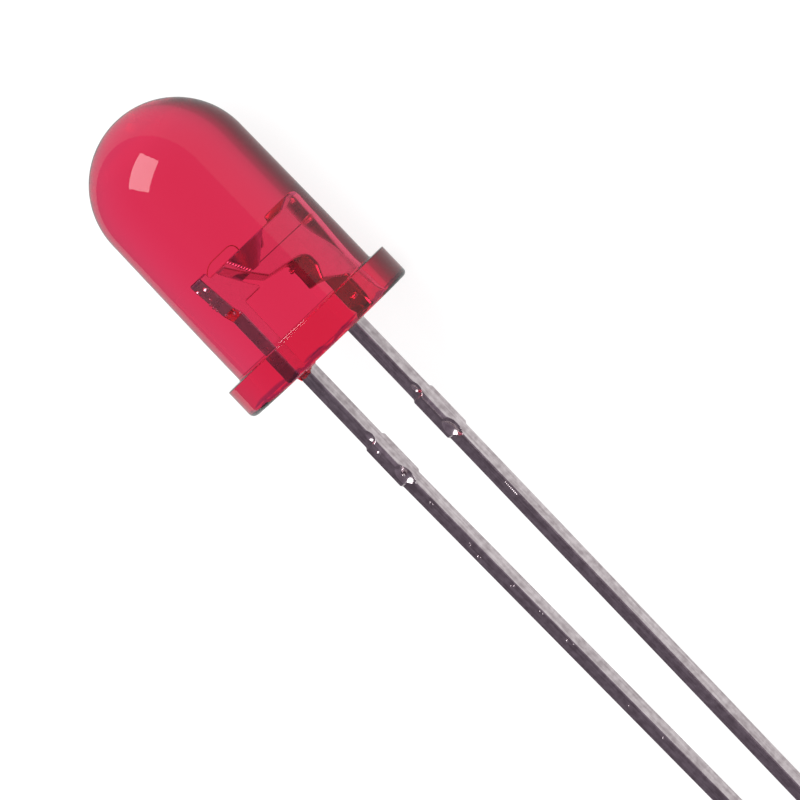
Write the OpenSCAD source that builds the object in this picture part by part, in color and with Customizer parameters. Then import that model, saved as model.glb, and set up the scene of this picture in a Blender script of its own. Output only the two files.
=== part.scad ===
// Through-hole LED with a round red epoxy lens, a flange and two stamped leads.
// It lies as it comes to rest on a table: on the flat of its flange and on the
// tip of its shorter lead. Millimetres. The last section turns it to that place.

/* [Epoxy case] */
// Height from the seat face to the top of the dome
case_h = 8.6; // [8:0.1:9.6]
// Diameter of the body just above the flange
body_d = 4.97; // [4.9:0.01:5.2]
// Height of the straight band above the flange, which fits a panel hole
grip_h = 1.4; // [1:0.1:2]
// Draft of the body above the straight band, in degrees
draft = 0.55; // [0.1:0.05:1]
// Diameter of the flange
flange_d = 5.9; // [5.7:0.05:6.2]
// Thickness of the flange
flange_h = 1; // [0.8:0.05:1.3]
// Distance from the axis to the flat that marks the cathode side
flat_x = 2.55; // [2.5:0.01:2.7]
// Distance that the epoxy creeps down each lead below the seat
creep_h = 0.13; // [0.06:0.01:0.3]
// Width of that creep around the lead's corners, at the seat
creep_w = 0.09; // [0.05:0.01:0.2]

/* [Leads] */
// Distance between the centre lines of the leads
lead_pitch = 2.54; // [2.45:0.01:2.65]
// Width of a lead, across the sheet it is stamped from
lead_w = 0.4; // [0.34:0.01:0.46]
// Thickness of that sheet
sheet_t = 0.5; // [0.42:0.01:0.56]
// Length of the cathode lead below the seat
cathode_len = 26; // [20:0.5:27]
// Length of the anode lead below the seat, the longer of the two
anode_len = 27.7; // [27.2:0.1:30]
// Lean of the anode lead towards the other one below its stub, in degrees
anode_lean = 1.2; // [0:0.1:2]

/* [Tie-bar stubs] */
// Distance from the seat down to the stubs
stub_drop = 2.7; // [2:0.1:3.5]
// Length of a stub along its lead
stub_len = 1.52; // [1:0.02:2]
// Distance that a stub stands out of each edge of its lead
stub_out = 0.07; // [0.03:0.01:0.15]
// Length of the slope at each end of a stub
stub_slope = 0.1; // [0.04:0.01:0.2]

/* [Lead heads] */
// Height of the tops of both side rails above the seat
rail_top = 3.85; // [3.6:0.05:4.2]
// Drop from the rail tops to the shelves and to the rim of the cup
rail_rise = 0.19; // [0.1:0.01:0.25]
// Height of the anvil at its free corner, from the shelf down
anvil_h = 1.16; // [1:0.02:1.3]
// Reach of the anvil's shelf past the axis
anvil_reach = 0.66; // [0.62:0.01:0.75]
// Reach of the anvil's lower corner past the axis
anvil_foot = 0.08; // [0:0.01:0.2]
// Drop of the anvil's lower edge on its way to the web
anvil_fall = 0.17; // [0.05:0.01:0.3]
// Extra width of the web between the anvil and its lead
web_w = 0.32; // [0.2:0.01:0.4]
// Height of the web below the anvil
web_h = 0.83; // [0.6:0.01:1]
// Radius of the corner between the anvil and the web
web_round = 0.17; // [0.08:0.01:0.25]
// Height of the flag of the anode post, from the shelf down
flag_h = 1.16; // [1:0.02:1.3]
// Distance that the flag stands outside its lead at the top
flag_out = 0.36; // [0.2:0.01:0.4]
// Distance that the flag stands outside its lead at its foot
flag_foot_out = 0.16; // [0.05:0.01:0.2]
// Height of the slope from the flag's foot back to its lead
flag_step = 0.2; // [0.1:0.01:0.3]
// Gap between the flag and the anvil at the shelves
head_gap = 0.5; // [0.4:0.01:0.55]
// Gap between the flag and the anvil at their lower corners
foot_gap = 0.31; // [0.2:0.01:0.45]

/* [Reflector cup] */
// Outer diameter of the cup at its rim
cup_head_d = 1.16; // [1.06:0.01:1.2]
// Diameter of the cup's mouth
cup_mouth_d = 0.96; // [0.8:0.01:1]
// Diameter of the cup's floor
cup_floor_d = 0.58; // [0.52:0.01:0.66]
// Depth of the cup
cup_depth = 0.34; // [0.3:0.01:0.4]
// Height of the band that is pressed flat around the cup
coin_h = 0.69; // [0.55:0.01:0.8]
// Depth of that band on each side of the sheet
coin_t = 0.02; // [0.01:0.005:0.04]

/* [Die and wire] */
// Side of the square light-emitting die
die_w = 0.3; // [0.2:0.01:0.34]
// Height of the die
die_h = 0.24; // [0.15:0.01:0.3]
// Diameter of the drop of silver glue under the die
glue_d = 0.46; // [0.44:0.01:0.5]
// Thickness of the glue
glue_t = 0.03; // [0.02:0.005:0.05]
// Diameter of the gold wire
wire_d = 0.03; // [0.02:0.005:0.04]
// Diameter of the ball that joins the wire to the die
ball_d = 0.09; // [0.06:0.01:0.12]
// Height of that ball
ball_h = 0.03; // [0.02:0.005:0.05]
// Height of the wire's loop above the rim of the cup
loop_h = 0.28; // [0.22:0.01:0.35]
// Radius of the wire's turn above the die
loop_round = 0.15; // [0.1:0.01:0.2]
// Angle at which the wire comes down to the post, in degrees
foot_angle = 60; // [50:1:70]
// Diameter of the pressed pad at the wire's foot
pad_d = 0.1; // [0.07:0.01:0.14]
// Thickness of that pad
pad_t = 0.02; // [0.015:0.005:0.03]

/* [Hidden] */

case_fn = 128;
small_fn = 48;

red_epoxy = [0.84, 0.16, 0.29, 0.6];
tinned_steel = [0.72, 0.7, 0.72];
silver_glue = [0.62, 0.62, 0.6];
die_grey = [0.32, 0.3, 0.28];
gold = [0.9, 0.7, 0.3];

// The case: the dome is the sphere that meets the drafted body without a kink
band_top = flange_h + grip_h;
dome_r = (body_d / 2 - tan(draft) * (case_h - band_top))
    / (cos(draft) - tan(draft) * (1 - sin(draft)));
dome_z = case_h - dome_r;
draft_top = dome_z + dome_r * sin(draft);

// The lead frame, with x across the sheet from the axis and z up from the seat
lead_x = lead_pitch / 2;
edge_out = lead_x + lead_w / 2;
edge_in = lead_x - lead_w / 2;
shelf_z = rail_top - rail_rise;
coin_z = shelf_z - coin_h;
anvil_z = shelf_z - anvil_h;
web_x = edge_in - web_w;
web_top = anvil_z - anvil_fall;
web_z = web_top - web_h;
flag_z = shelf_z - flag_h;
bend_z = -stub_drop - stub_len;

// The anode post's shelf, from its rail to the corner that faces the anvil
shelf_out = edge_out + flag_out - lead_w;
shelf_in = anvil_reach + head_gap;

// The die stands on its glue on the cup's floor
floor_z = shelf_z - cup_depth;
die_z = floor_z + glue_t;
die_top = die_z + die_h;

// The wire rises from the ball, turns over, runs level and comes down to its pad
wire_start = die_top + ball_h;
wire_top = shelf_z + loop_h;
foot_x = (shelf_out + shelf_in) / 2;
foot_round = (wire_top - shelf_z - pad_t / 2) / (1 - cos(foot_angle));
level_end = foot_x - foot_round * sin(foot_angle);
joint_lap = 0.002;

// How the LED lies: the flat's lower edge and the cathode lead's tip touch the table
lie_tilt = atan((flat_x - edge_out) / cathode_len);
lie_up = flat_x * cos(lie_tilt);
tip_run = anode_len + bend_z;
tip_x = -lead_x + tip_run * sin(anode_lean) - lead_w / 2 * cos(anode_lean);
tip_z = bend_z - tip_run * cos(anode_lean) - lead_w / 2 * sin(anode_lean);
inner_tip_x = tip_x + lead_w * cos(anode_lean);
inner_tip_z = tip_z + lead_w * sin(anode_lean);

// Place along the table of a point of the LED, before it is centred
function along(x, z) = x * sin(lie_tilt) + z * cos(lie_tilt);

far_end = along(0, dome_z) + dome_r;
near_end = min(
    along(tip_x, tip_z), along(inner_tip_x, inner_tip_z), along(edge_in, -cathode_len)
);
lie_shift = -(far_end + near_end) / 2;

// Turns the standing LED, dome up, to its place on the table, dome towards +X
module lying() {
    translate([lie_shift, 0, lie_up])
        rotate([0, 90 - lie_tilt, 0])
            children();
}

// A flat piece of the sheet, from its outline with z upwards
module stamped(outline) {
    rotate([90, 0, 0])
        linear_extrude(height = sheet_t, center = true)
            polygon(outline);
}

// The outline of a stub on one edge of a lead, side = 1 outwards to +x, from the top
function stub(x, side) = [
    [x, -stub_drop],
    [x + side * stub_out, -stub_drop - stub_slope],
    [x + side * stub_out, bend_z + stub_slope],
    [x, bend_z]
];

// The same points from the bottom up, for the edge that the outline climbs
function climbing(points) = [for (i = [len(points) - 1 : -1 : 0]) points[i]];

// The epoxy that creeps down a lead, as a short cone that the lead passes through
module creep(x) {
    corner_r = norm([lead_w, sheet_t]) / 2;
    translate([x, 0, -creep_h])
        cylinder(h = creep_h, r1 = corner_r, r2 = corner_r + creep_w, $fn = small_fn);
}

// The whole outside of the case, standing, with its flat towards +x
module case_outside() {
    difference() {
        union() {
            cylinder(h = flange_h, d = flange_d, $fn = case_fn);
            cylinder(h = band_top, d = body_d, $fn = case_fn);
        }
        translate([flat_x, -flange_d, -flange_h])
            cube([flange_d, 2 * flange_d, 3 * flange_h]);
    }
    translate([0, 0, band_top])
        cylinder(
            h = draft_top - band_top, r1 = body_d / 2, r2 = dome_r * cos(draft),
            $fn = case_fn
        );
    intersection() {
        translate([0, 0, dome_z])
            sphere(r = dome_r, $fn = case_fn);
        translate([-dome_r, -dome_r, draft_top])
            cube([2 * dome_r, 2 * dome_r, dome_r]);
    }
    creep(lead_x);
    creep(-lead_x);
}

// Sheet of the cathode: lead, web and anvil, with a side rail up to rail_top
cathode_outline = concat(
    [[edge_out, rail_top], [edge_in, rail_top], [edge_in, shelf_z]],
    [[-anvil_reach, shelf_z], [-anvil_foot, anvil_z]],
    [[web_x - web_round, web_top]],
    [[web_x, web_top - web_round], [web_x, web_z], [edge_in, web_z]],
    stub(edge_in, -1),
    [[edge_in, -cathode_len], [edge_out, -cathode_len]],
    climbing(stub(edge_out, 1))
);

module cathode_standing() {
    difference() {
        union() {
            difference() {
                stamped(cathode_outline);
                for (side = [-1, 1])
                    translate([-lead_pitch, side * sheet_t - (side + 1) / 2 * coin_t
                        - (side - 1) / 2 * coin_t - sheet_t / 2, coin_z])
                        cube([lead_pitch + lead_x, sheet_t, rail_top]);
            }
            translate([0, 0, coin_z])
                cylinder(
                    h = coin_h, r1 = sheet_t / 2 - coin_t, r2 = cup_head_d / 2,
                    $fn = small_fn
                );
        }
        translate([0, 0, floor_z])
            cylinder(
                h = cup_depth, d1 = cup_floor_d, d2 = cup_mouth_d, $fn = small_fn
            );
    }
}

// Sheet of the anode: lead and post with its flag, leaning below the stub
anode_outline = concat(
    [[-edge_out - flag_out, rail_top], [-shelf_out, rail_top]],
    [[-shelf_out, shelf_z], [-shelf_in, shelf_z]],
    [[-anvil_foot - foot_gap, flag_z], [-edge_in, flag_z]],
    stub(-edge_in, 1),
    [[inner_tip_x, inner_tip_z], [tip_x, tip_z]],
    climbing(stub(-edge_out, -1)),
    [[-edge_out, flag_z - flag_step], [-edge_out - flag_foot_out, flag_z]]
);

module anode_standing() {
    stamped(anode_outline);
}

module die_standing() {
    translate([-die_w / 2, -die_w / 2, die_z])
        cube([die_w, die_w, die_h]);
}

module glue_standing() {
    translate([0, 0, floor_z])
        cylinder(h = glue_t, d = glue_d, $fn = small_fn);
}

// A bent length of wire: an arc of the given radius about the y axis
module wire_arc(radius, from, turn) {
    rotate([90, 0, 0])
        rotate([0, 0, from])
            rotate_extrude(angle = turn, $fn = small_fn)
                translate([radius, 0])
                    circle(d = wire_d, $fn = small_fn);
}

module wire_standing() {
    translate([0, 0, die_top])
        cylinder(h = ball_h, d = ball_d, $fn = small_fn);
    translate([0, 0, wire_start - joint_lap])
        cylinder(
            h = wire_top - loop_round - wire_start + joint_lap, d = wire_d,
            $fn = small_fn
        );
    translate([-loop_round, 0, wire_top - loop_round])
        wire_arc(loop_round, 0, 90);
    translate([-level_end, 0, wire_top])
        rotate([0, 90, 0])
            cylinder(h = level_end - loop_round, d = wire_d, $fn = small_fn);
    translate([-level_end, 0, wire_top - foot_round])
        wire_arc(foot_round, 90, foot_angle);
    translate([-foot_x, 0, shelf_z])
        cylinder(h = pad_t, d = pad_d, $fn = small_fn);
}

// The clear red case, cast round everything that is inside it
module epoxy_case() {
    color(red_epoxy)
        lying()
            difference() {
                case_outside();
                cathode_standing();
                anode_standing();
                glue_standing();
                die_standing();
                wire_standing();
            }
}

// The cathode: one stamped piece with the short lead, the anvil and the cup
module cathode_lead() {
    color(tinned_steel)
        lying()
            cathode_standing();
}

// The anode: one stamped piece with the long lead and the post
module anode_lead() {
    color(tinned_steel)
        lying()
            anode_standing();
}

// The light-emitting die in the cup
module led_die() {
    color(die_grey)
        lying()
            die_standing();
}

// The drop of silver glue that holds the die
module die_glue() {
    color(silver_glue)
        lying()
            glue_standing();
}

// The gold wire from the die to the anode post
module bond_wire() {
    color(gold)
        lying()
            wire_standing();
}

epoxy_case();
cathode_lead();
anode_lead();
led_die();
die_glue();
bond_wire();
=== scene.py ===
"""A red 5 mm through-hole LED, lying on the flat of its flange and on the tip of its
cathode lead. Shapes are worked out in millimetres in the LED's own axes (x across the
sheet towards the cathode, y through the sheet, z from the seat to the dome) and then
laid down in the row frame, in metres."""
import math

import bmesh
import bpy
import numpy as np
from mathutils import Matrix, Vector


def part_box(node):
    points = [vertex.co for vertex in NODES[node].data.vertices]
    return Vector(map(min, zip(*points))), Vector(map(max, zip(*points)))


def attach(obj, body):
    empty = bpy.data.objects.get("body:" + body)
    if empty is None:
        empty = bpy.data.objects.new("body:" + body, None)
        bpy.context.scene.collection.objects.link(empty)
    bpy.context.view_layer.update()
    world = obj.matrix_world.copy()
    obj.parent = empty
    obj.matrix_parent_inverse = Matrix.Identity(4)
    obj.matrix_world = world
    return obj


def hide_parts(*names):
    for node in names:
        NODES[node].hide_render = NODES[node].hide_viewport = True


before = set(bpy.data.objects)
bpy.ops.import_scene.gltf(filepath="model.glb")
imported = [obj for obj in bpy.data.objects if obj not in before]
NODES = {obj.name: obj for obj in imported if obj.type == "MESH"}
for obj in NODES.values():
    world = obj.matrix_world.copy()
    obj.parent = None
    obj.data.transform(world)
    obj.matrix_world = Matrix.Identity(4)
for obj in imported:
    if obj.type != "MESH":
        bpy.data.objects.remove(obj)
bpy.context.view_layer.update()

MM = 0.001
TAU = 2 * math.pi

# The epoxy case, in millimetres, a hair smaller than the solid so that no round stands
# out between that solid's facets: the flange with its flat, the body with its straight
# band, the rounds, and the creep of epoxy round the leads below the seat
FLANGE_D, FLANGE_H, FLAT_X = 5.892, 1.0, 2.55
CASE_H, BODY_D, GRIP_H, DRAFT = 8.597, 4.97, 1.4, math.radians(0.55)
EDGE_ROUND, SEAT_ROUND, JOIN_ROUND = 0.03, 0.1, 0.07
CREEP_H, CREEP_W, ANODE_CREEP = 0.06, 0.08, 0.22

# The dome: the circle through the tip that touches the drafted wall
BAND_TOP = FLANGE_H + GRIP_H
DOME_R = (BODY_D / 2 - math.tan(DRAFT) * (CASE_H - BAND_TOP)) / (
    math.cos(DRAFT) - math.tan(DRAFT) * (1 - math.sin(DRAFT)))
DOME_Z = CASE_H - DOME_R

# The leads, from the seat down: the stubs are left of the bar that tied them together
LEAD_PITCH, LEAD_W, SHEET_T = 2.54, 0.4, 0.5
EDGE_OUT, EDGE_IN = (LEAD_PITCH + LEAD_W) / 2, (LEAD_PITCH - LEAD_W) / 2
CATHODE_LEN, ANODE_LEN, ANODE_LEAN = 26.0, 27.7, math.radians(1.2)
STUB_DROP, STUB_LEN, STUB_OUT, STUB_SLOPE = 2.7, 1.52, 0.07, 0.1
STUB_LOW = -STUB_DROP - STUB_LEN

# The round of a lead's long edges, what a pressed corner adds to it, in the epoxy and on
# a stub, and the ridge along the rail's outer edge
LEAD_ROUND, RAIL_ROUND, STUB_ROUND, RIDGE = 0.045, 0.07, 0.1, 0.06

# The heads: where leg and head join, how thin they are drawn inside the epoxy, the tops
# of rail and shelf, the underside of the anode's flag, and the thinner coined band
LEG_TOP, HEAD_THIN = 0.5, 0.84
RAIL_TOP, SHELF_Z, FLAG_Z = 3.85, 3.66, 2.5
COIN_Z, COIN_T, COIN_STEP = 2.97, 0.018, 0.02

# The cup, and what stands on its floor: the glue, the die and the bond wire
FLOOR_Z, CUP_LEAN = 3.32, 0.18
GLUE_T, DIE_H = 0.03, 0.24
DIE_TOP = FLOOR_Z + GLUE_T + DIE_H
WIRE_R, WIRE_TOP, WIRE_FOOT_X = 0.011, 3.94, -1.295

# The finishes of a lead: their places in LEAD_MATERIALS, the coined one darkened as
# painted shade, and a height that no head reaches
PLAIN, SHEARED, COINED_SHADED = 0, 1, 2
NEVER = 99.0

# Where a face looks when it mirrors the softbox to the camera, in the epoxy and outside it
GLINT = np.array([-0.80, -0.55, 0.24]) / math.hypot(-0.80, -0.55, 0.24)
GLINT_OUT = np.array([-0.765, -0.538, 0.353])

# How the LED lies: on the lower edge of the flange's flat and on the cathode's tip
LIE_TILT = math.atan((FLAT_X - EDGE_OUT) / CATHODE_LEN)

# The LED's own axes in the row frame, one per column, and its seat's centre
AXES = np.array([
    [math.sin(LIE_TILT), 0, math.cos(LIE_TILT)],
    [0, 1, 0],
    [-math.cos(LIE_TILT), 0, math.sin(LIE_TILT)],
])
die_low, die_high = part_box("led_die")
SEAT = np.array((die_low + die_high) / 2) - AXES[:, 2] * (DIE_TOP - DIE_H / 2) * MM


def in_row(points):
    """Points in the LED's own millimetres, carried to the row frame in metres."""
    return np.asarray(points, float) @ AXES.T * MM + SEAT


def linear(colour):
    """An sRGB hex colour as linear red, green, blue and 1."""
    parts = [int(colour[i:i + 2], 16) / 255 for i in (0, 2, 4)]
    return [p / 12.92 if p <= 0.04045 else ((p + 0.055) / 1.055) ** 2.4 for p in parts] + [1]


# ---------------------------------------------------------------- meshes

def mesh_object(name, points, faces, soft=True):
    """A piece from points in the LED's own millimetres and lists of corner numbers. soft
    says which faces are shaded smooth."""
    mesh = bpy.data.meshes.new(name)
    mesh.from_pydata(in_row(points).tolist(), [], faces)
    mesh.polygons.foreach_set("use_smooth", np.broadcast_to(soft, len(faces)).copy())
    built = bmesh.new()
    built.from_mesh(mesh)
    bmesh.ops.recalc_face_normals(built, faces=built.faces)
    built.to_mesh(mesh)
    built.free()
    piece = bpy.data.objects.new(name, mesh)
    bpy.context.scene.collection.objects.link(piece)
    return piece


def grid_faces(corners):
    """The faces between neighbours in a grid of corner numbers."""
    return np.stack([corners[:-1, :-1], corners[:-1, 1:], corners[1:, 1:], corners[1:, :-1]],
                    2).reshape(-1, 4).tolist()


def ring_faces(rows, turns, first=0):
    """The faces between rings of as many points as turns, numbered on from first."""
    rings = first + np.arange(rows * turns).reshape(rows, turns)
    return grid_faces(np.hstack([rings, rings[:, :1]]))


def revolved_faces(rows, turns):
    """The faces of a surface closed round its axis: a point at each end and rings of as
    many points as turns between them, with faces pointing outwards when the rings run
    from the low end to the high end."""
    around = np.arange(turns)
    after = (around + 1) % turns
    low = np.stack([0 * around, 1 + after, 1 + around], 1)
    last = 1 + (rows - 1) * turns
    high = np.stack([last + around, last + after, 0 * around + last + turns], 1)
    return low.tolist() + ring_faces(rows, turns, first=1) + high.tolist()


def smooth(low, high, value):
    """0 below low, 1 above high, and between them a soft rise: three times the square of
    the share of the way less twice its cube. It falls where low is above high."""
    share = np.clip((value - low) / (high - low), 0, 1)
    return share * share * (3 - 2 * share)


# ---------------------------------------------------------------- the epoxy case

def creep_depth(x, y):
    """How far the epoxy hangs below the seat at a point of the seat: full against each
    lead's outline and falling with the square of the distance from it. On the anode it
    hangs lower from the lead's middle outwards, in proportion to the distance."""
    depth = np.zeros_like(x)
    for side, lower in ((1, 0.0), (-1, ANODE_CREEP)):
        out = side * x - LEAD_PITCH / 2
        gap = np.hypot(np.maximum(np.abs(out) - LEAD_W / 2, 0),
                       np.maximum(np.abs(y) - SHEET_T / 2, 0))
        full = CREEP_H + lower * np.clip(out / LEAD_W, 0, 1)
        depth = np.maximum(depth, full * np.clip(1 - gap / CREEP_W, 0, 1) ** 2)
    return depth


def lens_profile():
    """The case's outline from the seat's centre to the dome's tip, as radius, height
    and inset from the sharp outline: rounds are quarter circles, the drafted wall is
    straight, the dome is part of a circle, and points near each round keep the flat
    stretches flat. The seat's points crowd where the leads come out of it."""
    quarter = np.linspace(0, math.pi / 2, 6)
    near = 0.006
    wall_top = DOME_Z + DOME_R * math.sin(DRAFT)
    rim, body = FLANGE_D / 2, BODY_D / 2
    edge, seat, join = EDGE_ROUND, SEAT_ROUND, JOIN_ROUND
    seat_r = np.concatenate([np.linspace(0.06, 0.8, 6), np.linspace(0.83, 1.77, 48),
                             np.linspace(1.9, 2.3, 4)])
    parts = [
        np.stack([seat_r, 0 * seat_r, seat + 0 * seat_r], 1),
        np.stack([rim - seat + seat * np.sin(quarter), seat - seat * np.cos(quarter),
                  seat - seat * np.sin(quarter)], 1),
        [[rim, seat + near, 0], [rim, FLANGE_H / 2, 0], [rim, FLANGE_H - edge - near, 0]],
        np.stack([rim - edge + edge * np.cos(quarter),
                  FLANGE_H - edge + edge * np.sin(quarter),
                  edge - edge * np.cos(quarter)], 1),
        [[body + join + near, FLANGE_H, edge]],
        np.stack([body + join - join * np.sin(quarter),
                  FLANGE_H + join - join * np.cos(quarter), edge + 0 * quarter], 1),
    ]
    wall_z = np.concatenate([[FLANGE_H + join + near],
                             np.linspace(FLANGE_H + 0.2, BAND_TOP, 5)])
    parts.append(np.stack([body + 0 * wall_z, wall_z, 0 * wall_z], 1))
    wall_z = np.linspace(BAND_TOP, wall_top, 9)[1:-1]
    parts.append(np.stack([body - (wall_z - BAND_TOP) * math.tan(DRAFT), wall_z,
                           0 * wall_z], 1))
    bow = np.linspace(DRAFT, math.pi / 2, 73)[:-1]
    parts.append(np.stack([DOME_R * np.cos(bow), DOME_Z + DOME_R * np.sin(bow),
                           0 * bow], 1))
    return np.concatenate([np.asarray(p, float) for p in parts])


def make_lens(turns=336):
    """The case's outer skin: the profile turned about the axis. The round at the seat
    swells and thins by a few sines of the angle, as the poured epoxy left it. Where the
    flange is wider than the flat, a point's radius is the distance to the flat along its
    own direction, and a point is moved to each end of the flat. The seat hangs down by
    the creep depth round each lead."""
    profile = lens_profile()
    angle = np.linspace(0, TAU, turns, endpoint=False)
    flat_end = math.acos(FLAT_X / (FLANGE_D / 2))
    for end in (flat_end, TAU - flat_end):
        angle[np.abs(angle - end).argmin()] = end
    radius, height, inset = profile.T[:, :, None]
    swell = (0.5 + 0.25 * np.cos(angle - 2.6) + 0.1 * np.sin(9 * angle)
             + 0.07 * np.sin(23 * angle + 1))
    swell = swell * ((height < FLANGE_H / 2) & (radius >= FLANGE_D / 2 - SEAT_ROUND))
    radius = radius - inset * swell
    height, inset = height * (1 + swell), inset * (1 + swell)
    ahead, aside = np.cos(angle), np.sin(angle)
    to_flat = (FLAT_X - inset) / np.maximum(ahead, 0.1)
    radius = np.where(height <= FLANGE_H, np.minimum(radius, to_flat), radius)
    x, y = radius * ahead, radius * aside
    z = np.where(height == 0, -creep_depth(x, y), height + 0 * angle)
    grid = np.stack([x, y, z], 2).reshape(-1, 3)
    points = np.concatenate([[[0, 0, 0]], grid, [[0, 0, CASE_H]]])
    return mesh_object("epoxy_lens", points, revolved_faces(len(profile), turns))


# ---------------------------------------------------------------- the leads

def rounded_path(corners, side=1, steps=5, spans=14):
    """An open path through the given corners (x, z, radius), and the unit normal to its
    right, or to its left where side is -1, at each point. Each corner becomes an arc of
    its radius, in steps parts, and each straight stretch has spans parts, whose points
    crowd towards its ends by a cosine."""
    corners = np.asarray(corners, float)
    place, radius = corners[:, :2], corners[1:-1, 2]
    leg = np.diff(place, axis=0)
    way = leg / np.linalg.norm(leg, axis=1)[:, None]
    right = np.stack([way[:, 1], -way[:, 0]], 1)
    before, after = way[:-1], way[1:]
    turn = np.arctan2(before[:, 0] * after[:, 1] - before[:, 1] * after[:, 0],
                      (before * after).sum(1))
    reach = radius * np.tan(np.abs(turn) / 2)
    centre = (place[1:-1] - before * reach[:, None]
              - right[:-1] * (radius * np.sign(turn))[:, None])
    angle = np.linspace(0, 1, steps + 1)[None, :] * turn[:, None]
    arc_right = (right[:-1, None] * np.cos(angle)[..., None]
                 + before[:, None] * np.sin(angle)[..., None])
    arcs = centre[:, None] + arc_right * (radius * np.sign(turn))[:, None, None]
    starts = np.concatenate([place[:1], arcs[:, -1]])
    ends = np.concatenate([arcs[:, 0], place[-1:]])
    points, normals = [place[:1]], [right[:1]]
    crowd = (1 - np.cos(np.linspace(0, math.pi, spans + 1)[1:-1, None])) / 2
    for i in range(len(leg)):
        points += [starts[i] + (ends[i] - starts[i]) * crowd,
                   arcs[i] if i < len(arcs) else place[-1:]]
        normals += [right[i] + 0 * crowd, arc_right[i] if i < len(arcs) else right[-1:]]
    return np.concatenate(points), np.concatenate(normals) * side


def edge_steps(rounds, ridge=0.0):
    """The edge of a sheet from its front face (y negative) to its back face: for each
    front round's radius a row of how far in from the edge, and one of y. The corners are
    quarter circles, and a point near each keeps the faces flat. Where there is a ridge,
    the front curves up to it as a parabola three times as wide as it is high."""
    half, near = SHEET_T / 2, 0.012
    front = np.atleast_1d(rounds)[:, None]
    back = LEAD_ROUND + 0 * front
    ridge = np.broadcast_to(ridge, len(front))[:, None]
    slope = np.linspace(1, 0, 7)[:-1]
    turn = np.linspace(0, math.pi / 2, 6)
    across = np.linspace(0, 1, 15)[1:-1]
    low, high = front - half - ridge, half - back
    inset = np.concatenate([
        front + (near + 3 * ridge) * slope, front * (1 - np.sin(turn)), 0 * low * across,
        back * (1 - np.sin(turn[::-1])), back + near], 1)
    y = np.concatenate([
        -half - ridge * (1 - slope) ** 2, front * (1 - np.cos(turn)) - half - ridge,
        low + (high - low) * across, half - back * (1 - np.cos(turn[::-1])),
        half + 0 * front], 1)
    return inset, y


def stub_share(z):
    """How far a stub stands out at height z, from 0 to 1, with a soft slope at each end."""
    return smooth(0, STUB_SLOPE, np.minimum(-STUB_DROP - z, z - STUB_LOW))


def leg_grid(side, length, lean, foot, slant, rounds):
    """The leg of a lead from its joint with the head down to its tip, as a grid of rings,
    and how many of a ring's points are on each edge and between two edges. A ring is a
    rectangle with rounded corners. Its half width follows the stubs, its inner edge is
    drawn in by foot and slanted at the foot, its middle leans below the stubs, it is
    thinner inside the epoxy, and the last rings narrow to the tip in a quarter ellipse.
    Rings crowd at the hollows and the stubs' ends."""
    z = np.concatenate([
        np.linspace(LEG_TOP, -2.2, 46), np.arange(-2.2, -3.0, -0.0125),
        np.arange(-3.0, -3.6, -0.03), np.arange(-3.6, -4.6, -0.0125),
        np.arange(-4.6, -length + 0.1, -0.1), -length + 0.1 * np.linspace(1, 0, 8)])
    z = np.unique(np.round(z, 4))[::-1, None]
    tip_round, tip_narrow = 0.03, 0.12
    above_tip = np.clip((z + length) / tip_round, 0, 1)
    narrow = 1 - tip_narrow * (1 - np.sqrt(1 - (1 - above_tip) ** 2))
    half_w = LEAD_W / 2 + STUB_OUT * stub_share(z)
    (outer_in, outer_y), (inner_in, inner_y) = [edge_steps(r) for r in rounds(z[:, 0])]
    outer_x = half_w - outer_in
    inner_x = inner_in - half_w + smooth(0.05, 0.4, z) * (
        slant * (0.5 - inner_y / SHEET_T) - foot)
    share = np.linspace(0, 1, 13)[1:-1]
    front_x = inner_x[:, :1] + (outer_x[:, :1] - inner_x[:, :1]) * share
    back_x = outer_x[:, -1:] + (inner_x[:, -1:] - outer_x[:, -1:]) * share
    x = np.concatenate([outer_x, back_x, inner_x[:, ::-1], front_x], 1)
    y = np.concatenate([outer_y, SHEET_T / 2 + 0 * back_x, inner_y[:, ::-1],
                        -SHEET_T / 2 + 0 * front_x], 1)
    y = y * (1 - (1 - HEAD_THIN) * smooth(0.0, 0.3, z))
    middle = side * (LEAD_PITCH / 2 - math.tan(lean) * np.maximum(STUB_LOW - z, 0))
    grid = np.stack([middle + side * x * narrow, y * narrow, z + 0 * x], 2)
    return grid, outer_x.shape[1], len(share)


def crossing(path, level):
    """Where a path crosses a height: the number of the point before, and how far it is
    to the next."""
    above = path[:, 1] > level
    first = np.flatnonzero(above[1:] != above[:-1])
    return first, (level - path[first, 1]) / (path[first + 1, 1] - path[first, 1])


def carve(points, balls):
    """Points with hollows pressed into them: those inside a ball (centre, radius) move
    straight away from its centre to its surface."""
    for x, y, z, radius in balls:
        away = points - [x, y, z]
        far = np.linalg.norm(away, axis=-1, keepdims=True)
        points = [x, y, z] + away * np.maximum(radius / far, 1)
    return points


def grains(spots, thin=1.0, facing=GLINT):
    """Small blisters of plating: closed balls of the given centres and radii, sunk half
    way in the sheet. Where thin is under 1 they are flakes, pressed that much thinner
    across the direction that they face."""
    turns, rows = 10, 6
    u = np.linspace(0, TAU, turns, endpoint=False)[None, :]
    v = np.linspace(0, math.pi, rows + 2)[1:-1, None]
    ball = np.stack([np.sin(v) * np.cos(u), np.sin(v) * np.sin(u),
                     -np.cos(v) + 0 * u], 2).reshape(-1, 3)
    ball = np.concatenate([[[0, 0, -1]], ball, [[0, 0, 1]]])
    ball -= (1 - thin) * (ball @ facing)[:, None] * facing
    spots = np.asarray(spots, float)
    points = spots[:, None, :3] + ball[None] * spots[:, None, 3:]
    faces = [[corner + start for corner in face]
             for start in range(0, len(spots) * len(ball), len(ball))
             for face in revolved_faces(rows, turns)]
    return points.reshape(-1, 3), faces


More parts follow.
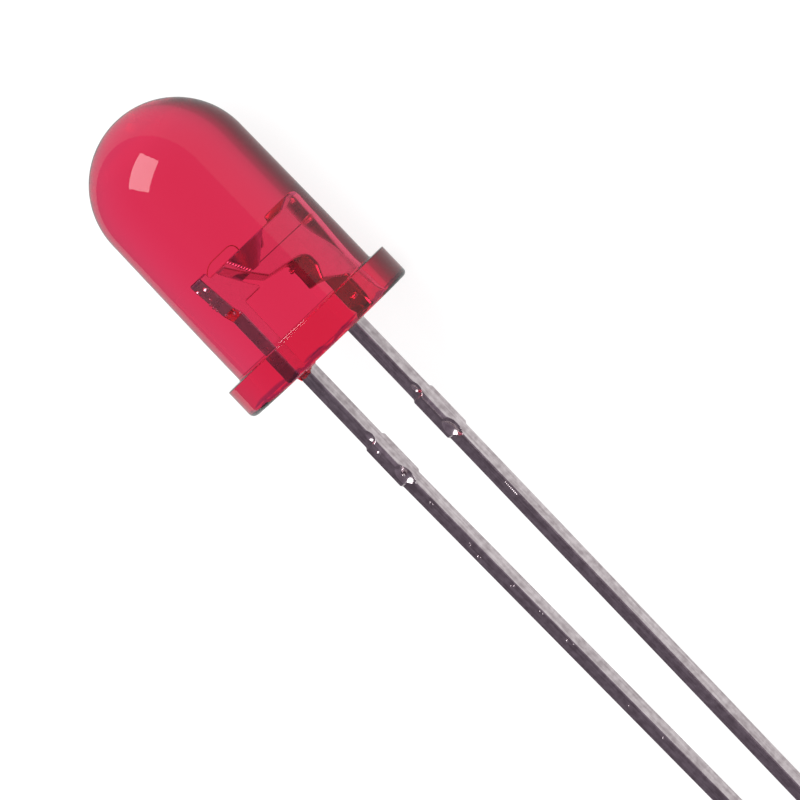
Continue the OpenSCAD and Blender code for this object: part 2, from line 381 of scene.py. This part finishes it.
def head_lines(head_back, head_front, side, coin):
    """The head's outline on the back face and on the front face, each as its points and
    its outward normals, with a point more where the back's crosses an end of the coined
    step. The first and last points are left out, because the leg's top ring has them."""
    lines = [line for head in (head_back, head_front) for line in rounded_path(head, side)]
    for level in (coin, coin + COIN_STEP):
        at, share = crossing(lines[0], level)
        for i, f in reversed(list(zip(at, share))):
            lines = [np.insert(line, i + 1, line[i] + (line[i + 1] - line[i]) * f, axis=0)
                     for line in lines]
    return [line[1:-1] for line in lines]


def head_grid(back, back_out, front, front_out, coined):
    """The edge of a head as a grid: the sheet's edge carried along its outline, which
    goes straight from the back face's to the front face's. The rail's outer edge is
    rounder and has a ridge at the front, and the coined part is thinner."""
    on_rail = smooth(EDGE_OUT - 0.1, EDGE_OUT - 0.02, front[:, 0])
    ridge = RIDGE * on_rail * smooth(1.7, 3.0, front[:, 1]) * smooth(3.73, 3.6, front[:, 1])
    inset, y = edge_steps(LEAD_ROUND + RAIL_ROUND * on_rail, ridge)
    share = (0.5 - y / SHEET_T)[..., None]
    plate = (back[:, None] * (1 - share) + front[:, None] * share
             - (back_out[:, None] * (1 - share) + front_out[:, None] * share)
             * inset[..., None])
    y = y * HEAD_THIN * (1 - COIN_T / (SHEET_T / 2) * coined)[:, None]
    return np.stack([plate[..., 0], y, plate[..., 1]], 2)


def make_lead(name, node, side, length, lean, rounds, head_back, head_front, dents,
              coin, extras):
    """A stamped lead as one closed skin. Its leg is a grid of rings, with a flat tip. Its
    head is a grid that starts and ends on the edges of the leg's top ring, and flat
    faces close it at the back and at the front. Above coin the sheet is pressed
    thinner. dents are balls that press hollows in the leg, and extras are more closed
    skins, each with its material's number."""
    foot = EDGE_IN - side * head_back[-1][0]
    slant = side * (head_front[-1][0] - head_back[-1][0])
    leg, k, c = leg_grid(side, length, lean, foot, slant, rounds)
    rings, n = leg.shape[:2]
    faces = ring_faces(rings, n)
    soft = [True] * len(faces)
    faces.append(np.arange((rings - 1) * n, rings * n).tolist())
    soft.append(False)
    finish = [PLAIN] * len(faces)

    back, back_out, front, front_out = head_lines(head_back, head_front, side, coin)
    coined = back[:, 1] > coin + COIN_STEP / 2
    head = head_grid(back, back_out, front, front_out, coined)
    rows = np.concatenate([np.arange(k)[None],
                           rings * n + np.arange(len(head) * k).reshape(-1, k),
                           (2 * k + c - 1 - np.arange(k))[None]])
    faces += grid_faces(rows)
    soft += [True] * (len(faces) - len(soft))
    # the tops of the heads take the coined finish: rougher, and darker as painted shade
    on_top = (back[:-1, 1] + back[1:, 1]) / 2 > SHELF_Z + 0.04
    on_top = np.concatenate([[False], on_top, [False]])
    finish += np.repeat(np.where(on_top, COINED_SHADED, SHEARED), k - 1).tolist()

    high = np.flatnonzero(coined) + 1
    for edge, columns in ((0, np.arange(2 * k + c, n)),
                          (k - 1, np.arange(k + c - 1, k - 1, -1))):
        loop = rows[:, edge]
        if len(high):
            first, last = high[0], high[-1]
            faces.append(loop[first:last + 1].tolist())
            faces.append(loop[[first - 1, first, last, last + 1]].tolist())
            loop = np.concatenate([loop[:first], loop[last + 1:]])
        faces.append(np.concatenate([loop, columns]).tolist())
    soft += [False] * (len(faces) - len(soft))
    finish += [PLAIN] * (len(faces) - len(finish))

    points = np.concatenate([carve(leg, dents).reshape(-1, 3), head.reshape(-1, 3)])
    for more, corners, kind in extras:
        faces += [[i + len(points) for i in face] for face in corners]
        points = np.concatenate([points, more])
        soft += [True] * len(corners)
        finish += [kind] * len(corners)
    piece = mesh_object(name, points, faces, soft)
    for material in LEAD_MATERIALS:
        piece.data.materials.append(material)
    piece.data.polygons.foreach_set("material_index", finish)
    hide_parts(node)
    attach(piece, "root")


def lathe(profile, turns):
    """A closed solid of revolution about the LED's axis, from its outline (radius, z)
    that starts and ends on the axis."""
    profile = np.asarray(profile, float)
    angle = np.linspace(0, TAU, turns, endpoint=False)[None, :]
    radius, z = profile[1:-1, :1], profile[1:-1, 1:]
    grid = np.stack([radius * np.cos(angle), radius * np.sin(angle), z + 0 * angle], 2)
    points = np.concatenate([[[0, 0, profile[0, 1]]], grid.reshape(-1, 3),
                             [[0, 0, profile[-1, 1]]]])
    return points, revolved_faces(len(profile) - 2, turns)


def cup_solid(turns=64):
    """The reflector cup: a cone that widens to the rim, a rounded rim, and a conical
    cavity with a rounded foot and a flat floor. The outline's corners are arcs. The
    outer cone leans towards the other lead in proportion to its depth."""
    path, _ = rounded_path([
        (0, COIN_Z, 0), (0.23, COIN_Z, 0.02), (0.60, SHELF_Z, 0.02),
        (0.48, SHELF_Z, 0.02), (0.29, FLOOR_Z, 0.04), (0, FLOOR_Z, 0)], spans=8)
    points, faces = lathe(path, turns)
    outer = np.arange(len(points)) <= path[:, 1].argmax() * turns
    points[:, 0] -= CUP_LEAN * outer * (SHELF_Z - points[:, 2]) / (SHELF_Z - COIN_Z)
    return points, faces


def make_wire(turns=16):
    """The bond wire: circles across a path that rises from the die, bends over and comes
    down to the post, with a ball at its start and a pressed pad at its foot, in which
    its ends are sunk."""
    start, foot, sunk = (0, DIE_TOP), (WIRE_FOOT_X, SHELF_Z), 0.01
    path, normal = rounded_path([
        (start[0], start[1] + sunk, 0), (start[0], WIRE_TOP, 0.2), (-0.93, WIRE_TOP, 0.7),
        (foot[0], foot[1] + sunk, 0)], steps=10, spans=6)
    u = np.linspace(0, TAU, turns, endpoint=False)[None, :, None]
    ring = path[:, None] + WIRE_R * np.cos(u) * normal[:, None]
    tube = np.stack([ring[..., 0], WIRE_R * np.sin(u[..., 0]) + 0 * ring[..., 0],
                     ring[..., 1]], 2).reshape(-1, 3)
    ends = np.insert(path[[0, -1]], 1, 0, axis=1)
    points, faces = [ends[:1], tube, ends[1:]], revolved_faces(len(path), turns)
    for (x, low), r, h in ((start, 0.045, 0.03), (foot, 0.05, 0.015)):
        dot, corners = lathe([(0, low), (r * 0.8, low), (r, low + h * 0.4),
                              (r * 0.8, low + h * 0.9), (0, low + h)], 24)
        faces += [[i + sum(map(len, points)) for i in face] for face in corners]
        points.append(dot + [x, 0, 0])
    wire = mesh_object("wire", np.concatenate(points), faces)
    finish_with(wire, simple("gold bonding wire", "E8B860", roughness=0.25, metallic=1.0,
                             grain=0.02, relief=0.3))
    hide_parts("bond_wire")
    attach(wire, "root")


# ---------------------------------------------------------------- materials

def add(tree, kind, settings=None, inputs=None):
    """Adds a node, with its settings, and its inputs as values or as (node, output)."""
    made = tree.nodes.new(kind)
    for name, value in (settings or {}).items():
        if name == "stops":
            ramp = made.color_ramp.elements
            for i, (place, colour) in enumerate(value):
                stop = ramp[i] if i < 2 else ramp.new(place)
                stop.position, stop.color = place, colour
        else:
            setattr(made, name, value)
    for socket, value in (inputs or {}).items():
        if isinstance(value, tuple) and isinstance(value[0], bpy.types.Node):
            tree.links.new(value[0].outputs[value[1]], made.inputs[socket])
        else:
            made.inputs[socket].default_value = value
    return made


def new_material(name):
    """An empty material and its node tree."""
    material = bpy.data.materials.new(name)
    material.use_nodes = True
    material.node_tree.nodes.clear()
    return material, material.node_tree


def grey(value):
    """A grey of the given linear value."""
    return (value, value, value, 1)


def own_place(tree, place):
    """A node with the place in the LED's own millimetres, its X the height above the
    seat. It undoes the lie: it moves the seat to the origin, then turns the tilt back."""
    own = add(tree, "ShaderNodeMapping", {}, {
        "Vector": (place, "Object"), "Location": (-SEAT[0], -SEAT[1], -SEAT[2])})
    return add(tree, "ShaderNodeMapping", {}, {
        "Vector": (own, 0), "Rotation": (0.0, LIE_TILT, 0.0), "Scale": (1000.0,) * 3})


def red_epoxy():
    """Transparent epoxy dyed red and cast in a polished mould: clear, glossy, paler
    where it is thin, with a hint of haze and flow. The dye drinks green, then blue, and
    hardly any red. Painted shade: a dark, wavy band is tinted into the epoxy just above
    the seat, where the seat's round shows dark."""
    clear, seat_shade_tint = grey(1.0), linear("90D7ED")
    material, tree = new_material("red transparent epoxy")
    place = add(tree, "ShaderNodeTexCoord")
    own = own_place(tree, place)
    axis = add(tree, "ShaderNodeSeparateXYZ", {}, {0: (own, 0)})
    wave = add(tree, "ShaderNodeTexNoise", {}, {"Vector": (own, 0), "Scale": 1.8,
                                               "Detail": 4.0})
    level = add(tree, "ShaderNodeMath", {"operation": "MULTIPLY_ADD"}, {
        0: (wave, "Fac"), 1: 0.4, 2: (axis, "X")})
    # painted shade: the darker tint fills a wavy band just above the seat
    line = add(tree, "ShaderNodeValToRGB", {"stops": [
        (0.0, clear), (1.0, clear), (0.21, clear), (0.25, seat_shade_tint), (0.33, seat_shade_tint),
        (0.37, clear)]}, {0: (level, 0)})
    flow = add(tree, "ShaderNodeTexNoise", {}, {"Vector": (place, "Object"), "Scale": 900.0,
                                               "Detail": 1.0})
    skin = add(tree, "ShaderNodeBump", {}, {"Height": (flow, "Fac"), "Strength": 1.0,
                                           "Distance": 1.5e-6})
    haze = add(tree, "ShaderNodeTexNoise", {}, {"Vector": (place, "Object"), "Scale": 2500.0})
    rough = add(tree, "ShaderNodeMapRange", {}, {0: (haze, "Fac"), 1: 0.45, 2: 0.8, 3: 0.0,
                                                4: 0.03})
    glass = add(tree, "ShaderNodeBsdfPrincipled", {}, {
        "Base Color": (line, 0), "Roughness": (rough, 0), "IOR": 1.54,
        "Transmission Weight": 1.0, "Normal": (skin, 0)})
    dye = add(tree, "ShaderNodeVolumeAbsorption", {}, {"Color": linear("F6009A"),
                                                      "Density": 764.0})
    add(tree, "ShaderNodeOutputMaterial", {}, {"Surface": (glass, 0), "Volume": (dye, 0)})
    return material


def steel_strip(name, dull, plate="F8F6F2"):
    """Stamped steel strip: silver plate inside the epoxy, bright and smooth, and outside
    it a dipped coat of tin, greyer, with drawing streaks along the lead and dull spots.
    dull is what a sheared edge or the coined cup adds to the roughness. plate is the
    silver's colour; the coined one's darker, purplish plate is painted shade."""
    material, tree = new_material(name)
    place = add(tree, "ShaderNodeTexCoord")
    own = own_place(tree, place)
    axis = add(tree, "ShaderNodeSeparateXYZ", {}, {0: (own, 0)})
    plated = add(tree, "ShaderNodeMapRange", {}, {0: (axis, "X"), 1: -0.15, 2: 0.0})
    along = add(tree, "ShaderNodeMapping", {}, {"Vector": (own, 0),
                                               "Scale": (0.7, 14.0, 14.0)})
    streaks = add(tree, "ShaderNodeTexNoise", {}, {"Vector": (along, 0), "Scale": 1.0,
                                                  "Detail": 3.0})
    spots = add(tree, "ShaderNodeTexNoise", {}, {"Vector": (own, 0), "Scale": 5.2,
                                                "Detail": 2.0})
    both = add(tree, "ShaderNodeMath", {"operation": "ADD"}, {0: (streaks, "Fac"),
                                                             1: (spots, "Fac")})
    patches = add(tree, "ShaderNodeMapRange", {}, {0: (both, 0), 1: 0.75, 2: 1.25})
    coat = add(tree, "ShaderNodeValToRGB", {"stops": [
        (0.0, linear("C0B4B8")), (1.0, linear("F0E6E9"))]}, {0: (patches, 0)})
    colour = add(tree, "ShaderNodeMix", {"data_type": "RGBA"}, {
        0: (plated, 0), 6: (coat, 0), 7: linear(plate)})
    rough = add(tree, "ShaderNodeMapRange", {}, {0: (spots, "Fac"), 1: 0.35, 2: 0.75,
                                                3: 0.1 + dull, 4: 0.26 + dull})
    skin = add(tree, "ShaderNodeBump", {}, {"Height": (streaks, "Fac"), "Strength": 1.0,
                                           "Distance": 2e-6})
    metal = add(tree, "ShaderNodeBsdfPrincipled", {}, {
        "Base Color": (colour, 2), "Metallic": 1.0, "Roughness": (rough, 0),
        "Normal": (skin, 0)})
    add(tree, "ShaderNodeOutputMaterial", {}, {"Surface": (metal, 0)})
    return material


def simple(name, colour, roughness, metallic, grain, relief):
    """A small part's finish: one colour broken up by grain of the given size in
    millimetres, with relief in micrometres."""
    material, tree = new_material(name)
    place = add(tree, "ShaderNodeTexCoord")
    noise = add(tree, "ShaderNodeTexNoise", {}, {"Vector": (place, "Object"),
                                                "Scale": 1000.0 / grain, "Detail": 2.0})
    dark, light = [[min(1, part * share) for part in linear(colour)[:3]] + [1]
                   for share in (0.8, 1.15)]
    tint = add(tree, "ShaderNodeValToRGB", {"stops": [(0.3, dark), (0.7, light)]}, {
        0: (noise, "Fac")})
    skin = add(tree, "ShaderNodeBump", {}, {"Height": (noise, "Fac"), "Strength": 1.0,
                                           "Distance": relief * 1e-6})
    body = add(tree, "ShaderNodeBsdfPrincipled", {}, {
        "Base Color": (tint, 0), "Metallic": metallic, "Roughness": roughness,
        "Normal": (skin, 0)})
    add(tree, "ShaderNodeOutputMaterial", {}, {"Surface": (body, 0)})
    return material


def finish_with(piece, material):
    """Gives a piece one material."""
    piece.data.materials.clear()
    piece.data.materials.append(material)


# ---------------------------------------------------------------- the pieces

LEAD_MATERIALS = [
    steel_strip("tinned steel strip", 0.0),
    steel_strip("silver plated sheared edge", 0.15),
    # the coined plate is rougher, and its darker, purplish colour is painted shade
    steel_strip("dull coined silver plate with painted shade", 0.25, "D6C8DD"),
]

lens = make_lens()
finish_with(lens, red_epoxy())
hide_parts("epoxy_case")
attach(lens, "root")

# Outlines of the heads as (x, z, corner's radius), from the leg's outer edge over the top
# to its inner edge, on the back and on the front face: the punch has drawn the cathode's
# inner edges in on the front, and the anvil's slanted edge in on the back. The anode's
# two faces have the same outline.
FOOT_BACK, FOOT_FRONT = 0.985, 1.125
notch = [(0.50, SHELF_Z, 0.06), (0.30, FLOOR_Z - 0.03, 0.06), (-0.31, FLOOR_Z - 0.03, 0.06),
         (-0.50, SHELF_Z, 0.06)]
rail = [(EDGE_OUT, LEG_TOP, 0), (1.43, 1.3, 0.8), (1.48, RAIL_TOP, 0.12)]
cathode_back = rail + [(0.97, RAIL_TOP, 0.06), (0.97, SHELF_Z, 0.05)] + notch + [
    (-0.77, SHELF_Z, 0.07), (0.10, 2.56, 0.06), (0.68, 2.40, 0.1), (0.69, 1.9, 1.0),
    (0.68, 1.5, 0.06), (FOOT_BACK, 1.5, 0.05), (FOOT_BACK, LEG_TOP, 0)]
cathode_front = rail + [(1.26, RAIL_TOP, 0.06), (1.04, SHELF_Z, 0.1)] + notch + [
    (-0.89, SHELF_Z, 0.07), (-0.08, 2.56, 0.06), (0.845, 2.37, 0.3), (0.85, 1.9, 0.2),
    (0.725, 1.5, 0.06), (FOOT_FRONT, 1.09, 0.12), (FOOT_FRONT, LEG_TOP, 0)]
anode_head = [
    (-EDGE_OUT, LEG_TOP, 0), (-EDGE_OUT, 2.32, 0.05), (-1.62, 2.62, 0.06),
    (-1.83, RAIL_TOP, 0.06), (-1.43, RAIL_TOP, 0.06), (-1.43, SHELF_Z, 0.05),
    (-1.16, SHELF_Z, 0.06), (-0.39, FLAG_Z, 0.06), (-EDGE_IN, FLAG_Z, 0.05),
    (-EDGE_IN, LEG_TOP, 0)]


def cathode_rounds(z):
    """The outer and inner front rounds of the cathode's leg: the outer is wider in the
    epoxy, the inner along the stub."""
    return (LEAD_ROUND + RAIL_ROUND * smooth(0.0, 0.4, z),
            LEAD_ROUND + STUB_ROUND * stub_share(z))


def anode_rounds(z):
    """The outer and inner front rounds of the anode's leg: the outer is wider along the
    stub."""
    return LEAD_ROUND + STUB_ROUND * stub_share(z), LEAD_ROUND + 0 * z


def pressed_in(side, marks):
    """Balls that press hollows in a leg's front corner on the anode's side, for marks
    (z, depth, radius, how far back from the corner). A ball's surface passes that deep
    below the corner at the point whose face looks along GLINT_OUT."""
    corner = np.array([side * LEAD_PITCH / 2 - LEAD_W / 2, -SHEET_T / 2])
    outward = GLINT_OUT[:2] / np.linalg.norm(GLINT_OUT[:2])
    return [(*(corner + [0, back] - depth * outward + radius * GLINT_OUT[:2]),
             z + radius * GLINT_OUT[2], radius) for z, depth, radius, back in marks]


def row_of_spots(start, way, radius):
    """Nine spots from start along way. radius gives a spot's from its share of the way."""
    share = np.linspace(0, 1, 9)[:, None]
    return np.hstack([start + way * share, radius(share)])


# Spots (x, y, z, radius) of silver plate: flakes in a row beside the cup, on the anvil's
# foot and web and near the post's top, and blisters down the post's sheared edge
streak = row_of_spots([-0.66, -0.22, 3.62], [0.30, 0, -0.57],
                      lambda share: 0.044 + 0.004 * np.sin(share * 40))
beads = [(1.045, -0.05, 0.55, 0.08), (0.665, 0.16, 2.20, 0.055), (0.655, 0.165, 2.28, 0.035)]
flakes = [(-1.78, 0.115, 3.59, 0.09), (-1.77, -0.12, 3.50, 0.11)]
flecks = [(-1.70, 0.05, 3.22, 0.06), (-1.69, 0.17, 3.10, 0.05), (-1.67, 0.18, 2.98, 0.05),
          (-1.65, 0.17, 2.86, 0.05), (-1.60, 0.10, 2.60, 0.05), (-1.55, -0.08, 2.47, 0.05),
          (-1.50, -0.2, 2.38, 0.05)]
# and of tin, on the side of each leg that looks along -x: a scratch as a row of flakes on
# the cathode, blisters down the anode's leaning edge, and one on its stub
scratch = row_of_spots([EDGE_IN, -0.16, -6.13], [0, 0, -0.46],
                       lambda share: 0.03 + 0.02 * share * np.sin(share * 23) ** 2)
pimples = [(-EDGE_OUT + math.tan(ANODE_LEAN) * (STUB_LOW - z), y, z, r) for y, z, r in (
    (-0.10, -5.03, 0.035), (-0.13, -5.12, 0.03), (-0.08, -6.60, 0.03), (-0.04, -6.66, 0.035),
    (0.06, -7.03, 0.045), (0.00, -7.10, 0.03), (-0.14, -8.30, 0.04), (-0.05, -8.24, 0.03),
    (-0.17, -9.30, 0.035), (-0.18, -9.40, 0.03), (-0.12, -10.41, 0.045), (-0.2, -10.6, 0.03),
    (-0.05, -12.9, 0.035), (-0.12, -14.2, 0.04))]
pimples.append((-1.50, -0.13, -3.97, 0.06))

make_lead("cathode_strip", "cathode_lead", 1, CATHODE_LEN, 0.0, cathode_rounds,
          cathode_back, cathode_front, coin=COIN_Z,
          dents=pressed_in(1, [(-2.61, 0.01, 0.3, 0.16), (-4.19, 0.03, 0.5, 0.19)]),
          extras=[(*cup_solid(), COINED_SHADED), (*grains(streak, 0.3), PLAIN),
                  (*grains(beads, 0.4), PLAIN), (*grains(scratch, 0.4, GLINT_OUT), PLAIN)])
make_lead("anode_strip", "anode_lead", -1, ANODE_LEN, ANODE_LEAN, anode_rounds,
          anode_head, anode_head, coin=NEVER,
          dents=pressed_in(-1, [(-2.66, 0.015, 0.3, 0.13), (-3.09, 0.0, 0.08, 0.25),
                                (-4.21, 0.035, 0.55, 0.16)]),
          extras=[(*grains(flakes, 0.25), PLAIN), (*grains(flecks), SHEARED),
                  (*grains(pimples), PLAIN)])
make_wire()

NODES["led_die"].material_slots[0].material = simple(
    "gallium phosphide die", "59544E", roughness=0.35, metallic=0.0, grain=0.08, relief=2.0)
NODES["die_glue"].material_slots[0].material = simple(
    "silver filled epoxy", "A9A9A6", roughness=0.55, metallic=0.6, grain=0.03, relief=3.0)


# ---------------------------------------------------------------- table, room, lamp, camera

def white_floor():
    """A plain white table. To the camera it glows an even white of its own, with paint
    that takes the soft shadow. To the metal it glows another white, painted dimmer
    under the case than under the leads, and to the epoxy a painted pool of light that
    dims with the distance to the side of the LED. The light that it throws back on the
    pieces is that of plain paint."""
    own_white, shaded_white, paint_white = 0.88, 0.2, 0.8
    material, tree = new_material("white table")
    path = add(tree, "ShaderNodeLightPath")
    place = add(tree, "ShaderNodeTexCoord")
    spot = add(tree, "ShaderNodeSeparateXYZ", {}, {0: (place, "Object")})
    paint = add(tree, "ShaderNodeBsdfDiffuse", {}, {"Color": grey(paint_white)})
    shade = add(tree, "ShaderNodeBsdfDiffuse", {}, {"Color": grey(shaded_white)})
    aside = add(tree, "ShaderNodeMath", {"operation": "ABSOLUTE"}, {0: (spot, "Y")})
    aside = add(tree, "ShaderNodeMath", {"operation": "MULTIPLY"}, {0: (aside, 0), 1: 10.0})
    aside = add(tree, "ShaderNodeMath", {"operation": "POWER"}, {0: (aside, 0), 1: 0.3})
    # painted light: the glow that the epoxy shows of the table is brightest near the LED;
    # the stops are 3, 9, 30 and 100 mm to the side of the LED
    through = add(tree, "ShaderNodeValToRGB", {"stops": [
        (0.349, grey(1.0)), (1.0, grey(0.5)), (0.486, grey(0.8)), (0.697, grey(0.62))]},
        {0: (aside, 0)})
    # a ray that has passed through the epoxy counts as glossy too
    direct = add(tree, "ShaderNodeMath", {"operation": "SUBTRACT", "use_clamp": True}, {
        0: (path, "Is Glossy Ray"), 1: (path, "Is Transmission Ray")})
    # painted light: the glow that the metal shows, dimmer under the case than under the leads
    gloss = add(tree, "ShaderNodeMapRange", {}, {0: (spot, "X"), 1: 0.007, 2: 0.011,
                                                3: 0.7, 4: 0.5})
    strength = add(tree, "ShaderNodeMath", {"operation": "MULTIPLY"}, {
        0: (path, "Is Transmission Ray"), 1: (through, 0)})
    strength = add(tree, "ShaderNodeMath", {"operation": "MULTIPLY_ADD"}, {
        0: (direct, 0), 1: (gloss, 0), 2: (strength, 0)})
    strength = add(tree, "ShaderNodeMath", {"operation": "MULTIPLY_ADD"}, {
        0: (path, "Is Camera Ray"), 1: own_white, 2: (strength, 0)})
    glow = add(tree, "ShaderNodeEmission", {}, {"Color": grey(1), "Strength": (strength, 0)})
    lit = add(tree, "ShaderNodeAddShader", {}, {0: (shade, 0), 1: (glow, 0)})
    either = add(tree, "ShaderNodeMixShader", {}, {0: (path, "Is Camera Ray"),
                                                  1: (glow, 0), 2: (lit, 0)})
    whole = add(tree, "ShaderNodeMixShader", {}, {0: (path, "Is Diffuse Ray"),
                                                 1: (either, 0), 2: (paint, 0)})
    add(tree, "ShaderNodeOutputMaterial", {}, {"Surface": (whole, 0)})
    material.cycles.emission_sampling = "NONE"
    return material


def make_floor(half=2.0):
    """The table's top, a square, in metres."""
    mesh = bpy.data.meshes.new("table_top")
    mesh.from_pydata([(-half, -half, 0), (half, -half, 0), (half, half, 0),
                      (-half, half, 0)], [], [(0, 1, 2, 3)])
    floor = bpy.data.objects.new("table_top", mesh)
    bpy.context.scene.collection.objects.link(floor)
    finish_with(floor, white_floor())


def make_world():
    """The room round the table. To the camera it is white, and on the pieces it sheds a
    plain light. Through the epoxy it is dim, dimmest half way up, but bright beyond the
    dome and beyond the leads. The metal shows it dark, darker on the far side, and a
    little purple."""
    world = bpy.data.worlds.new("studio")
    bpy.context.scene.world = world
    world.use_nodes = True
    tree = world.node_tree
    tree.nodes.clear()
    path = add(tree, "ShaderNodeLightPath")
    place = add(tree, "ShaderNodeTexCoord")
    way = add(tree, "ShaderNodeSeparateXYZ", {}, {0: (place, "Generated")})
    dome_end = add(tree, "ShaderNodeMapRange", {"interpolation_type": "SMOOTHSTEP"}, {
        0: (way, "X"), 1: 0.45, 2: 0.75})
    lead_end = add(tree, "ShaderNodeMapRange", {"interpolation_type": "SMOOTHSTEP"}, {
        0: (way, "X"), 1: -0.7, 2: -0.9})
    ends = add(tree, "ShaderNodeMath", {"operation": "MAXIMUM"}, {
        0: (dome_end, 0), 1: (lead_end, 0)})
    rise = add(tree, "ShaderNodeValToRGB", {"stops": [
        (0.0, grey(0.5)), (1.0, grey(0.3)), (0.044, grey(0.43)), (0.14, grey(0.27)),
        (0.26, grey(0.17)), (0.42, grey(0.13)), (0.87, grey(0.13))]}, {0: (way, "Z")})
    through = add(tree, "ShaderNodeMapRange", {}, {0: (ends, 0), 3: (rise, 0), 4: 1.0})
    far = add(tree, "ShaderNodeMapRange", {"interpolation_type": "SMOOTHSTEP"}, {
        0: (way, "Y"), 1: -0.2, 2: 0.2, 3: 0.212, 4: 0.138})
    direct = add(tree, "ShaderNodeMath", {"operation": "SUBTRACT", "use_clamp": True}, {
        0: (path, "Is Glossy Ray"), 1: (path, "Is Transmission Ray")})
    seen = add(tree, "ShaderNodeMath", {"operation": "MULTIPLY"}, {
        0: (through, 0), 1: (path, "Is Transmission Ray")})
    seen = add(tree, "ShaderNodeMath", {"operation": "ADD"}, {
        0: (seen, 0), 1: (path, "Is Camera Ray")})
    seen = add(tree, "ShaderNodeMath", {"operation": "MULTIPLY_ADD"}, {
        0: (direct, 0), 1: (far, 0), 2: (seen, 0)})
    total = add(tree, "ShaderNodeMath", {"operation": "MULTIPLY_ADD"}, {
        0: (path, "Is Diffuse Ray"), 1: 0.8, 2: (seen, 0)})
    tint = add(tree, "ShaderNodeMix", {"data_type": "RGBA"}, {
        0: (direct, 0), 6: grey(1), 7: linear("FCE9FF")})
    light = add(tree, "ShaderNodeBackground", {}, {"Color": (tint, 2),
                                                  "Strength": (total, 0)})
    add(tree, "ShaderNodeOutputWorld", {}, {"Surface": (light, 0)})
    world.cycles.sampling_method = "NONE"


def make_softbox():
    """A soft rectangular lamp, its sizes in metres. way points to it from the dome's
    centre, up and on beyond the dome, and its width lies along across. Its power is the
    brightness that its face shows times its area times pi."""
    width, height, distance, brightness = 0.192, 0.138, 0.25, 4.5
    way, across = Vector((0.625, -0.258, 0.737)), Vector((0.501, -0.592, -0.632))
    way.normalize()
    across = (across - way * across.dot(way)).normalized()
    lamp = bpy.data.lights.new("softbox", "AREA")
    lamp.shape = "RECTANGLE"
    lamp.size, lamp.size_y = width, height
    lamp.energy = brightness * width * height * math.pi
    holder = bpy.data.objects.new("softbox", lamp)
    bpy.context.scene.collection.objects.link(holder)
    target = Vector(in_row([0, 0, DOME_Z]))
    turn = Matrix((across, way.cross(across), way)).transposed()
    holder.matrix_world = Matrix.Translation(target + way * distance) @ turn.to_4x4()
    holder.visible_camera = False


def make_camera():
    """Looks down on the LED from its anode side, square to its axis but for a hint
    towards the dome, and rolled so that the dome points up and to the left. It stands
    where its long lens sees view_width, in millimetres, across the picture, and looks
    at a point to the right of the seat's centre and below it."""
    view_width, right_of_seat, below_seat = 22.1914, 1.93343, 1.51179
    back = Vector(AXES @ np.array([-0.677, -0.736, 0.028])).normalized()
    axis = Vector(AXES[:, 2])
    axis = (axis - back * axis.dot(back)).normalized()
    side = axis.cross(back)
    roll = math.radians(46.3)
    right = side * math.sin(roll) - axis * math.cos(roll)
    up = side * math.cos(roll) + axis * math.sin(roll)
    camera = bpy.data.cameras.new("camera")
    camera.lens, camera.sensor_width = 300.0, 36.0
    camera.clip_start, camera.clip_end = 0.005, 10.0
    distance = view_width * MM * camera.lens / camera.sensor_width
    target = Vector(SEAT) + (right * right_of_seat - up * below_seat) * MM
    holder = bpy.data.objects.new("camera", camera)
    bpy.context.scene.collection.objects.link(holder)
    turn = Matrix((right, up, back)).transposed()
    holder.matrix_world = Matrix.Translation(target + back * distance) @ turn.to_4x4()
    bpy.context.scene.camera = holder


make_floor()
make_world()
make_softbox()
make_camera()
bpy.context.scene.view_settings.view_transform = "Standard"
